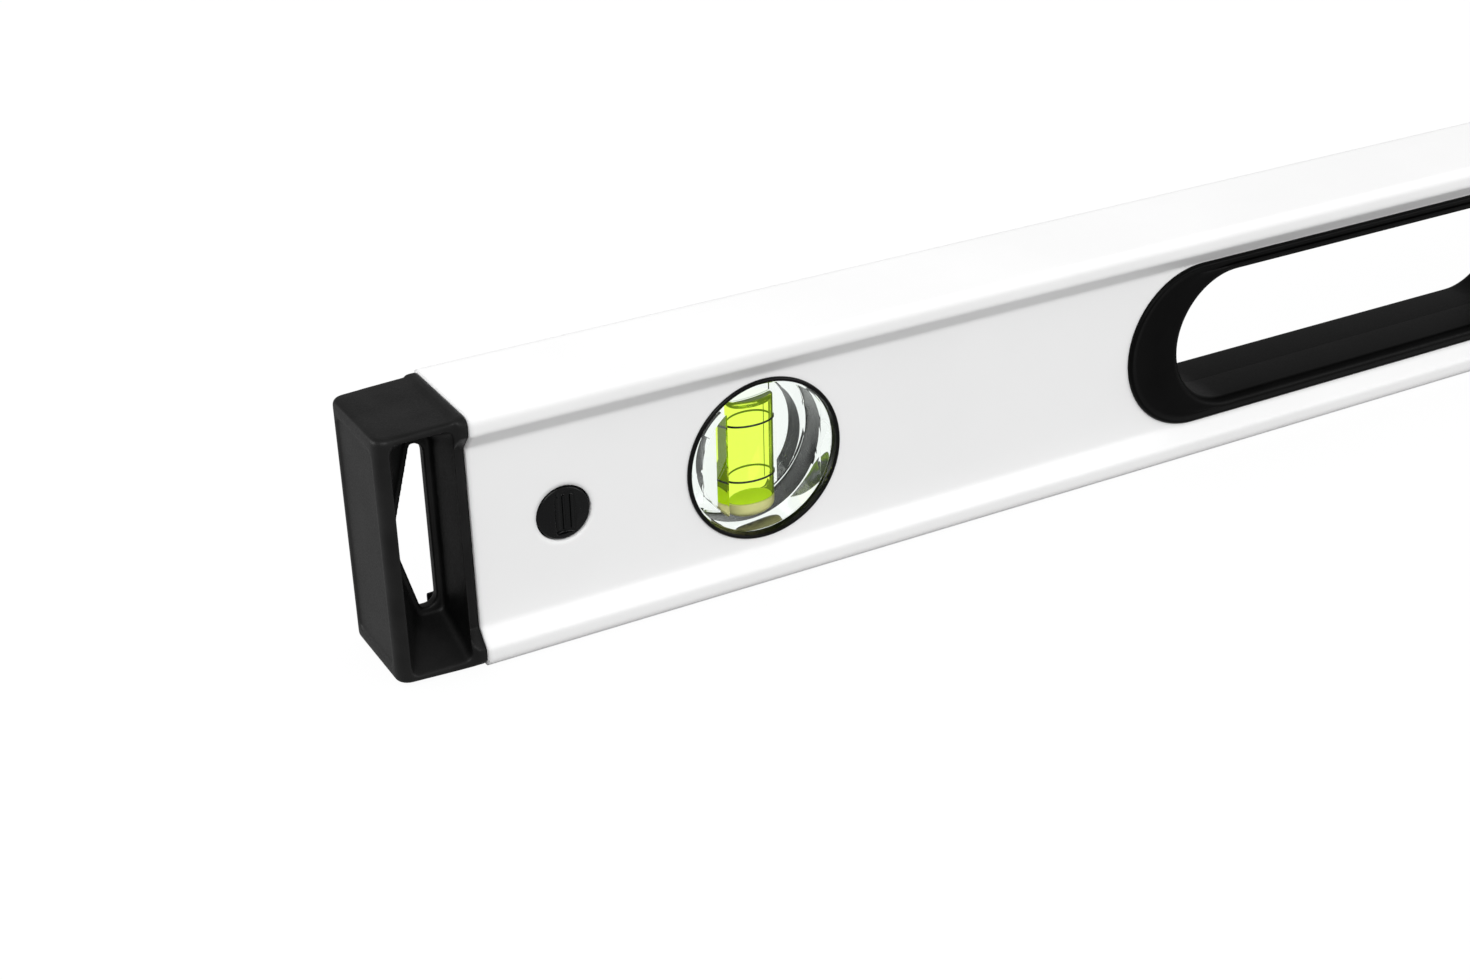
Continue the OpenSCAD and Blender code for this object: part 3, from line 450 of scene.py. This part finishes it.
class LEVEL_OT_plumb_vials(bpy.types.Operator):
    """Builds the plumb vials: bezels, acrylic blocks, dyed liquid, bubbles, rings and stoppers"""
    bl_idname = "level.plumb_vials"
    bl_label = "Build the plumb vials"

    def execute(self, context):
        given = context.scene.level_vial
        # Gloss ABS: deep black with a clean narrow highlight
        gloss = surfaced("gloss_abs", "040404", "070707", 0.8, (0.2, 0.28), 0.002,
                         **{"Specular IOR Level": 0.18})
        # Acrylic: water clear with bright bent edges, a faint cool tint and little glare
        acrylic = clear("cast_acrylic", "F6FCF8", ACRYLIC_IOR, shine=0.5)
        # Dyed liquid inside acrylic: an even yellow-green with a painted glow, an emission that
        # stands in for the dye's fluorescence
        liquid = clear("dyed_vial_liquid", given.dye, LIQUID_IOR / ACRYLIC_IOR, given.glow,
                       "C8F52A")
        # Air in liquid: a colourless pocket with a dark rim
        bubble = clear("vial_bubble", "FFFFFF", 1 / LIQUID_IOR)
        # Fired ink: thin dry lines, near black with a hint of the dye
        ink = surfaced("fired_ring_ink", "0A0F05", "121A08", 0.2, (0.5, 0.6), 0.001)
        # Cream ABS: warm and opaque, with a soft wide highlight
        cream = surfaced("cream_stopper_abs", "CBC683", "D6D08E", 0.5, (0.4, 0.5), 0.004,
                         edge_mm=0.2)
        # The back barrel grips the block, so it looks black through it, and the front one stands
        # clear, so the rim stays bright
        seam, outer_r, inner_r = 0.05, 0.45, 0.25
        # How far the barrel's outside stands out from the solids' block, and how far behind the
        # block's face the slope of the lip begins
        beyond, behind = 1.25, 0.6
        barrel, lip, rings = BLOCK_RADIUS + beyond, BEZEL_FACE, []
        for inner in (CLEAR_RADIUS + 0.05, CLEAR_RADIUS - 0.03):
            ring = [(inner, seam), (barrel, seam), (barrel, WEB_FACE), (BEZEL_RADIUS, WEB_FACE)]
            ring += bow(BEZEL_RADIUS - outer_r, lip - outer_r, outer_r, 0, 90, 7)
            ring += bow(BEZEL_RADIUS - RING_WIDTH + inner_r, lip - inner_r, inner_r, 90, 180, 4)
            rings.append(lathed(ring + [(inner, BLOCK_HALF - behind)]))
        disc = self.block(CLEAR_RADIUS, rim=3.2, bar=9.0, drop=5.2, half=BLOCK_HALF)
        column = self.column(LIQUID_RADIUS, LIQUID_LOW, -LIQUID_LOW, round_r=0.6)
        # The bubble fills what the liquid's own solid leaves free at the top of the bore, inside
        # a thin film of liquid
        side_film, top_film = 0.12, 0.15
        pocket = self.column(LIQUID_RADIUS - side_film, LIQUID_TOP, -LIQUID_LOW - top_film,
                             round_r=1.2)
        low, high = (v - VIAL_Z for v in extent("plumb_stopper_right", 2))
        # The stopper's belly hangs this much below its solid
        below = 0.8
        stopper = self.plug(extent("plumb_stopper_right", 1)[1], low - below, high)
        for end, side in ENDS:
            x = side * VIAL_X
            for (face, way), ring in zip(FACES, rings):
                made = skin(f"vial_bezel_{face}_{end}", moved(ring, x, VIAL_Z, way > 0), gloss,
                            close_rows=True)
                finished(made, "level", "bezel_plastic", f"plumb_bezel_{face}_{end}")
            finished(skin(f"vial_body_{end}", moved(disc, x, VIAL_Z), acrylic, smooth=25),
                     "level", "acrylic", f"plumb_block_{end}")
            finished(skin(f"vial_liquid_{end}", moved(column, x, VIAL_Z), liquid),
                     "level", "vial_liquid", f"plumb_liquid_{end}")
            finished(skin(f"vial_bubble_{end}", moved(pocket, x, VIAL_Z), bubble),
                     "level", "vial_liquid")
            wear(ink, f"plumb_rings_{end}")
            finished(skin(f"vial_stopper_{end}", moved(stopper, x, VIAL_Z), cream),
                     "level", "stopper", f"plumb_stopper_{end}")
        return {"FINISHED"}

    def block(self, radius, rim, bar, drop, half):
        """A disc with a rim and an upright bar at full depth and, at the left of the bar on either
        face as one looks at it, a well sunk by drop. Columns run along x, and rows along z at
        shares of the well's half height at that x, then over its shore and out to the disc's
        edge, so the grid follows every wall."""
        ease, chamfer, step, well = 0.4, 0.5, 0.02, radius - rim
        turn = np.sin(np.linspace(-0.5, 0.5, 121) * math.pi)
        marks = [s * v for s in (-1, 1) for v in (bar - ease, bar, bar + step)]
        x = np.concatenate([turn * radius * 0.9998, turn * well, marks])
        x = np.unique(np.round(x, 4))[:, None]
        reach = np.sqrt(radius ** 2 - x ** 2)
        shore = np.sqrt(np.clip(well ** 2 - x ** 2, 0, None))
        lip = shore + np.minimum(step, (reach - shore) * 0.1)
        brow = shore + np.minimum(ease, (reach - shore) * 0.3)
        edge = reach - np.minimum(chamfer, (reach - shore) * 0.3)
        up = np.concatenate([np.linspace(0, 1, 25)[None, 1:] * shore, lip, brow, edge, reach], 1)
        z = np.concatenate([-up[:, ::-1], 0 * x, up], 1)
        side, inner = np.abs(x), np.abs(z) <= shore + 1e-9
        sunk = (side > bar + 0.01) & (side < well) & inner
        crest = ((np.abs(side - bar) < 0.01) & inner) | ((side > bar + 0.01) & (side < well)
                                                         & (np.abs(np.abs(z) - lip) < 1e-9))
        away = radius - np.sqrt(x ** 2 + z ** 2)
        faces = []
        for way in (-1, 1):
            depth = half - (drop * sunk + ease * crest) * (x * way > 0)
            depth = depth - np.clip(chamfer - away, 0, None)
            faces.append(np.stack([x + 0 * z, way * depth, z], -1)[:, ::-way])
        return np.concatenate(faces, 1)

    def column(self, radius, low, high, round_r):
        """A round column along Z from low to high, its edges rounded by round_r."""
        line = [(0, low)] + bow(radius - round_r, low + round_r, round_r, -90, 0, 7)
        line += bow(radius - round_r, high - round_r, round_r, 0, 90, 7)
        return self.turned(line + [(0, high)])

    def plug(self, radius, low, high):
        """A plug with a flat top and a bottom that bellies out as a quarter of an ellipse."""
        turn = np.linspace(0, math.pi / 2, 15)
        belly, edge_r = (high - low) * 0.62, 0.15
        line = np.stack([radius * np.sin(turn), low + belly * (1 - np.cos(turn))], -1).tolist()
        line += bow(radius - edge_r, high - edge_r, edge_r, 0, 90, 4)
        return self.turned(line + [(0, high)])

    def turned(self, line):
        """A line of (radius, height) turned about Z."""
        line, turn = np.array(line), np.linspace(0, 2 * math.pi, 96, endpoint=False)
        radius, height = line[:, :1], line[:, 1:]
        return np.stack([radius * np.cos(turn), radius * np.sin(turn), height + 0 * turn], -1)


class LEVEL_OT_centre_vial(bpy.types.Operator):
    """Finishes the centre vial under the top face"""
    bl_idname = "level.centre_vial"
    bl_label = "Finish the centre vial"

    def execute(self, context):
        given = context.scene.level_vial
        wear(bpy.data.materials["cast_acrylic"], "level_block", "level_lens")
        # The centre vial's liquid: the same dye and the same painted glow, an emission standing in
        # for fluorescence, bending light as it does in air
        liquid = clear("dyed_level_liquid", given.dye, LIQUID_IOR, given.glow, "C8F52A")
        wear(liquid, "level_liquid")
        wear(bpy.data.materials["fired_ring_ink"], "level_rings")
        wear(bpy.data.materials["cream_stopper_abs"], "level_stopper")
        wear(bpy.data.materials["gloss_abs"], "level_carrier", "level_bezel_front",
             "level_bezel_back")
        # The bubble lies under the top of the tube: an ellipsoid on half axes a, b and c
        a, b, c = 6.4, 3.3, 1.6
        turn = np.linspace(0, 2 * math.pi, 64, endpoint=False)
        along = np.linspace(0, math.pi, 33)[:, None]
        bubble = np.stack([-a * np.cos(along) + 0 * turn, b * np.sin(along) * np.cos(turn),
                           c * np.sin(along) * np.sin(turn)], -1)
        film = 0.12
        top = extent("level_liquid", 2)[1] - c - film
        made = skin("level_bubble", moved(bubble, 0, top), bpy.data.materials["vial_bubble"])
        finished(made, "level", "vial_liquid")
        return {"FINISHED"}


class LEVEL_OT_readout(bpy.types.Operator):
    """Finishes the readout module, its display, keys and what is inside"""
    bl_idname = "level.readout"
    bl_label = "Finish the readout"

    def execute(self, context):
        # Moulded ABS with a fine grain: charcoal, drier than the bezels
        abs_plastic = surfaced("grained_abs", "151617", "1B1C1D", 0.35, (0.5, 0.62), 0.02,
                               edge_mm=0.5, **{"Specular IOR Level": 0.4})
        # Silicone: mid grey and dry, so the keys stand out from their housing
        silicone = surfaced("silicone_keys", "3C3F42", "45484B", 0.4, (0.6, 0.7), 0.01,
                            edge_mm=0.4)
        # Nickel plate: bright metal with a slightly blurred reflection
        steel = surfaced("nickel_plated_steel", "A9ABAD", "B8BABC", 0.3, (0.22, 0.34), 0.002,
                         edge_mm=0.1, **{"Metallic": 1.0})
        # Liquid crystal: flat grey-green under a smooth sheet
        glass = surfaced("liquid_crystal", "8D9886", "97A290", 0.6, (0.25, 0.3), 0.0005)
        # Solder mask: glossy green with a lacquer's slight unevenness
        board = surfaced("solder_mask", "1E5A31", "256A3A", 0.9, (0.3, 0.45), 0.01)
        # Cell sleeve: pale silver grey and smooth, with a soft highlight
        sleeve = surfaced("printed_cell_sleeve", "A3A8AD", "B4B9BD", 0.8, (0.3, 0.4), 0.002)
        wear(abs_plastic, "module_front", "module_back", "battery_door", "tilt_sensor", "buzzer")
        wear(silicone, "key_mat", "key_power", "key_zero", "key_hold", "key_unit")
        wear(bpy.data.materials["moulded_rubber"], "module_seal")
        wear(steel, "contact_springs", "contact_plates", "module_screws")
        wear(glass, "display_panel")
        wear(board, "circuit_board")
        wear(sleeve, "battery_upper", "battery_lower")
        wear(bpy.data.materials["cast_acrylic"], "display_window")
        self.display()
        self.key_marks()
        return {"FINISHED"}

    def display(self):
        """Draws the reading on the display and the printed frame behind its window."""
        face = -extent("display_panel", 1)[0]
        low, high = face + PRINT_LOW, face + PRINT_HIGH
        # Driven segments: near black with the display's own smoothness
        segments = surfaced("liquid_crystal_segments", "121712", "181D18", 0.5, (0.3, 0.4), 0.0005)
        # The bars that are lit in a zero: offset from the digit's middle, and whether it lies flat
        zero = ((0, 6, True), (0, -6, True), (-3.2, 3, False), (3.2, 3, False),
                (-3.2, -3, False), (3.2, -3, False))
        digits, point = (87.6, 100.4), [(93.0, 29.5), (94.3, 29.5)]
        grids = [self.segment(x + sx, DIGIT_Z + sz, flat, low, high)
                 for x in digits for sx, sz, flat in zero]
        grids.append(tape(point, 1.3, low, high))
        # A cell in the corner: two bars of charge and its cap here, its case among the rings
        for x, width in ((61.8, 1.0), (63.4, 1.0), (66.7, 0.5)):
            grids.append(tape([(x, 41.2), (x, 39.8)], width, low, high))
        finished(skin("display_reading", grids, segments), "level", "display")
        case = [(61, 39), (66.2, 39), (66.2, 42), (61, 42)]
        rings = [self.ring(105.6, 41.2, 0.9, 0.9, 0.45, low),
                 tape(case, 0.3, low, high, closed=True)]
        finished(skin("display_signs", rings, segments, close_rows=True), "level", "display")
        # Screen ink behind the window: an even black border
        ink = surfaced("screen_ink", "060708", "0A0B0C", 0.5, (0.3, 0.4), 0.0005)
        (left, right), (foot, head) = extent("display_window", 0), extent("display_window", 2)
        inset, radius = 1.05, 1.2
        corners = ((right, head, 0), (left, head, 90), (left, foot, 180), (right, foot, 270))
        path = []
        for x, z, turn in corners:
            way = (1 if x == right else -1, 1 if z == head else -1)
            path += bow(x - way[0] * (inset + radius), z - way[1] * (inset + radius), radius,
                        turn, turn + 90, 8)
        back = -extent("display_window", 1)[1]
        border = tape(path, 2 * inset - 0.1, back - 0.05, back - 0.01, closed=True)
        finished(skin("display_frame", border, ink, close_rows=True), "level", "housing")

    def segment(self, x, z, flat, low, high):
        """One pointed bar of a slanted digit, from depth low to depth high."""
        line = np.array([[-2.75, 0], [-2.1, 0], [2.1, 0], [2.75, 0]]) * (1 if flat else 0.95)
        line = line if flat else line[:, ::-1]
        place = line + [x, z]
        place[:, 0] += SLANT * (place[:, 1] - DIGIT_Z)
        return tape(place, [0.04, 1.25, 1.25, 0.04], low, high)

    def ring(self, x, z, wide, tall, width, low):
        """A closed oval line."""
        turn = np.linspace(0, 2 * math.pi, 40, endpoint=False)
        return tape(np.stack([x + wide * np.cos(turn), z + tall * np.sin(turn)], -1), width,
                    low, low + 0.02, closed=True)

    def key_marks(self):
        """Prints a plain sign on each key: power, set to zero, hold and change of unit."""
        # Pad print: thin, off-white and slightly drier than gloss
        white = surfaced("pad_print", "DEDFDC", "E6E7E4", 0.4, (0.45, 0.55), 0.001)
        face = -extent("key_power", 1)[0]
        low, high, line = face - 0.02, face + 0.03, 0.4
        for key in ("power", "zero", "hold", "unit"):
            x, z = (middle(f"key_{key}", axis) for axis in (0, 2))
            open_lines, rings = {
                "power": ([bow(x, z - 0.2, 1.5, 125, 415, 30), [(x, z + 0.2), (x, z + 1.8)]], []),
                "zero": ([[(x - 1.9, z - 2), (x + 1.9, z - 2)]], [(x, z + 0.35, 0.95, 1.5)]),
                "hold": ([[(x - 0.8, z - 1.5), (x - 0.8, z + 1.5)],
                          [(x + 0.8, z - 1.5), (x + 0.8, z + 1.5)]], []),
                "unit": ([[(x - 1.3, z - 1.6), (x + 1.3, z + 1.6)]],
                         [(x - 1.1, z + 0.9, 0.55, 0.55), (x + 1.1, z - 0.9, 0.55, 0.55)])}[key]
            lines = [tape(path, line, low, high) for path in open_lines]
            finished(skin(f"mark_lines_{key}", lines, white), f"{key}_key", "key_rubber")
            if rings:
                rings = [self.ring(*oval, line, low + 0.03) for oval in rings]
                finished(skin(f"mark_rings_{key}", rings, white, close_rows=True),
                         f"{key}_key", "key_rubber")


class LEVEL_OT_stage(bpy.types.Operator):
    """Sets the white floor, the lamps, the surroundings and the camera"""
    bl_idname = "level.stage"
    bl_label = "Set the stage"

    def execute(self, context):
        given = context.scene.level_stage
        scene = context.scene
        scene.view_settings.view_transform = "Standard"
        self.floor(scene)
        self.surroundings(scene, given.sky)
        self.softbox(scene, "front_softbox", (-1.1, -1.5, 1.2), (1.4, 0.9), given.key)
        self.softbox(scene, "end_softbox", (-1.7, 0.55, 0.3), (0.9, 0.7), given.side)
        self.softbox(scene, "low_softbox", (0.75, -1.3, 0.25), (1.0, 0.5), given.low)
        self.camera(scene)
        return {"FINISHED"}

    def camera(self, scene):
        """The camera stands in front of and above the left end, and looks along the level."""
        right, up = np.array([0.8718, -0.4893, -0.0225]), np.array([0.2417, 0.3898, 0.8886])
        turn = np.stack([right, up, np.cross(right, up)], 1)
        place = (-0.6295, -0.4012, 0.2535)
        seen = bpy.data.cameras.new("camera")
        seen.lens, seen.sensor_width, seen.clip_start, seen.clip_end = 54.53, 36.0, 0.01, 100.0
        camera = bpy.data.objects.new("camera", seen)
        scene.collection.objects.link(camera)
        rows = [list(row) + [at] for row, at in zip(turn, place)]
        camera.matrix_world = Matrix(rows + [[0, 0, 0, 1]]).normalized()
        scene.camera = camera

    def softbox(self, scene, name, place, size, power):
        """A rectangular lamp that looks at the left end of the level."""
        lamp = bpy.data.lights.new(name, "AREA")
        lamp.shape, lamp.size, lamp.size_y, lamp.energy = "RECTANGLE", size[0], size[1], power
        placed = bpy.data.objects.new(name, lamp)
        scene.collection.objects.link(placed)
        placed.location = place
        sight = Vector((-0.35, 0, 0.03)) - placed.location
        placed.rotation_euler = sight.to_track_quat("-Z", "Y").to_euler()

    def bright_rays(self, tree):
        """1 for rays straight from the camera or sent on through glass, else 0."""
        ray = add(tree, "ShaderNodeLightPath")
        either = add(tree, "ShaderNodeMath", {"operation": "MAXIMUM"},
                     {0: ray.outputs["Is Camera Ray"], 1: ray.outputs["Is Transmission Ray"]})
        return either.outputs[0]

    def floor(self, scene):
        """A wide flat sheet: white where it is seen, darker as a light, so undersides stay grey."""
        material, tree, out = start("white_sweep")
        # Its grey as a light, its grey and glow where it is seen, and its glow in a sheen
        bounce, seen_grey, seen_glow, sheen_glow = 0.15, 0.06, 0.94, 0.4
        board = add(tree, "ShaderNodeBsdfDiffuse", {"Color": grey(bounce)})
        shade = add(tree, "ShaderNodeBsdfDiffuse", {"Color": grey(seen_grey)})
        light = add(tree, "ShaderNodeEmission", {"Color": grey(1.0), "Strength": seen_glow})
        both = add(tree, "ShaderNodeAddShader", links={0: shade.outputs[0], 1: light.outputs[0]})
        sheen = add(tree, "ShaderNodeEmission", {"Color": grey(1.0), "Strength": sheen_glow})
        ray = add(tree, "ShaderNodeLightPath")
        dim = add(tree, "ShaderNodeMixShader",
                  links={0: ray.outputs["Is Glossy Ray"], 1: board.outputs[0], 2: sheen.outputs[0]})
        mix = add(tree, "ShaderNodeMixShader",
                  links={0: self.bright_rays(tree), 1: dim.outputs[0], 2: both.outputs[0]})
        tree.links.new(mix.outputs[0], out.inputs["Surface"])
        mesh = bpy.data.meshes.new("floor")
        reach = 40.0
        corners = [(-reach, -reach, 0), (reach, -reach, 0), (reach, reach, 0), (-reach, reach, 0)]
        mesh.from_pydata(corners, [], [(0, 1, 2, 3)])
        mesh.materials.append(material)
        made = bpy.data.objects.new("floor", mesh)
        scene.collection.objects.link(made)

    def surroundings(self, scene, sky):
        """A white room: full white where it is seen, set by sky as a light, dimmer in a sheen."""
        world = bpy.data.worlds.new("white_room")
        world.use_nodes = True
        tree = world.node_tree
        tree.nodes.clear()
        out = add(tree, "ShaderNodeOutputWorld")
        sheen_share = 0.32
        light = add(tree, "ShaderNodeBackground", {"Color": grey(1.0), "Strength": sky})
        sheen = add(tree, "ShaderNodeBackground",
                    {"Color": grey(1.0), "Strength": sky * sheen_share})
        full = add(tree, "ShaderNodeBackground", {"Color": grey(1.0), "Strength": 1.0})
        ray = add(tree, "ShaderNodeLightPath")
        dim = add(tree, "ShaderNodeMixShader",
                  links={0: ray.outputs["Is Glossy Ray"], 1: light.outputs[0], 2: sheen.outputs[0]})
        mix = add(tree, "ShaderNodeMixShader",
                  links={0: self.bright_rays(tree), 1: dim.outputs[0], 2: full.outputs[0]})
        tree.links.new(mix.outputs[0], out.inputs["Surface"])
        scene.world = world


class LEVEL_PT_sidebar(bpy.types.Panel):
    bl_idname = "LEVEL_PT_sidebar"
    bl_label = "Spirit level"
    bl_space_type = "VIEW_3D"
    bl_region_type = "UI"
    bl_category = "Spirit level"

    def draw(self, context):
        for group in SETTINGS:
            box = self.layout.box()
            given = getattr(context.scene, group)
            for key in given.bl_rna.properties.keys()[2:]:
                box.prop(given, key)
        for operator in OPERATORS:
            self.layout.operator(operator.bl_idname)


SETTINGS = {"level_beam": BeamSettings, "level_cap": CapSettings, "level_grip": GripSettings,
            "level_vial": VialSettings, "level_stage": StageSettings}
OPERATORS = (LEVEL_OT_beam, LEVEL_OT_caps, LEVEL_OT_grips, LEVEL_OT_plumb_vials,
             LEVEL_OT_centre_vial, LEVEL_OT_readout, LEVEL_OT_stage)


def register():
    for kind in (*SETTINGS.values(), *OPERATORS, LEVEL_PT_sidebar):
        bpy.utils.register_class(kind)
    for name, group in SETTINGS.items():
        setattr(bpy.types.Scene, name, bpy.props.PointerProperty(type=group))


def unregister():
    for name in SETTINGS:
        delattr(bpy.types.Scene, name)
    for kind in (LEVEL_PT_sidebar, *reversed(OPERATORS), *reversed(SETTINGS.values())):
        bpy.utils.unregister_class(kind)


def main():
    """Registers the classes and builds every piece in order."""
    register()
    for operator in OPERATORS:
        group, name = operator.bl_idname.split(".")
        getattr(getattr(bpy.ops, group), name)()


if __name__ == "__main__":
    main()
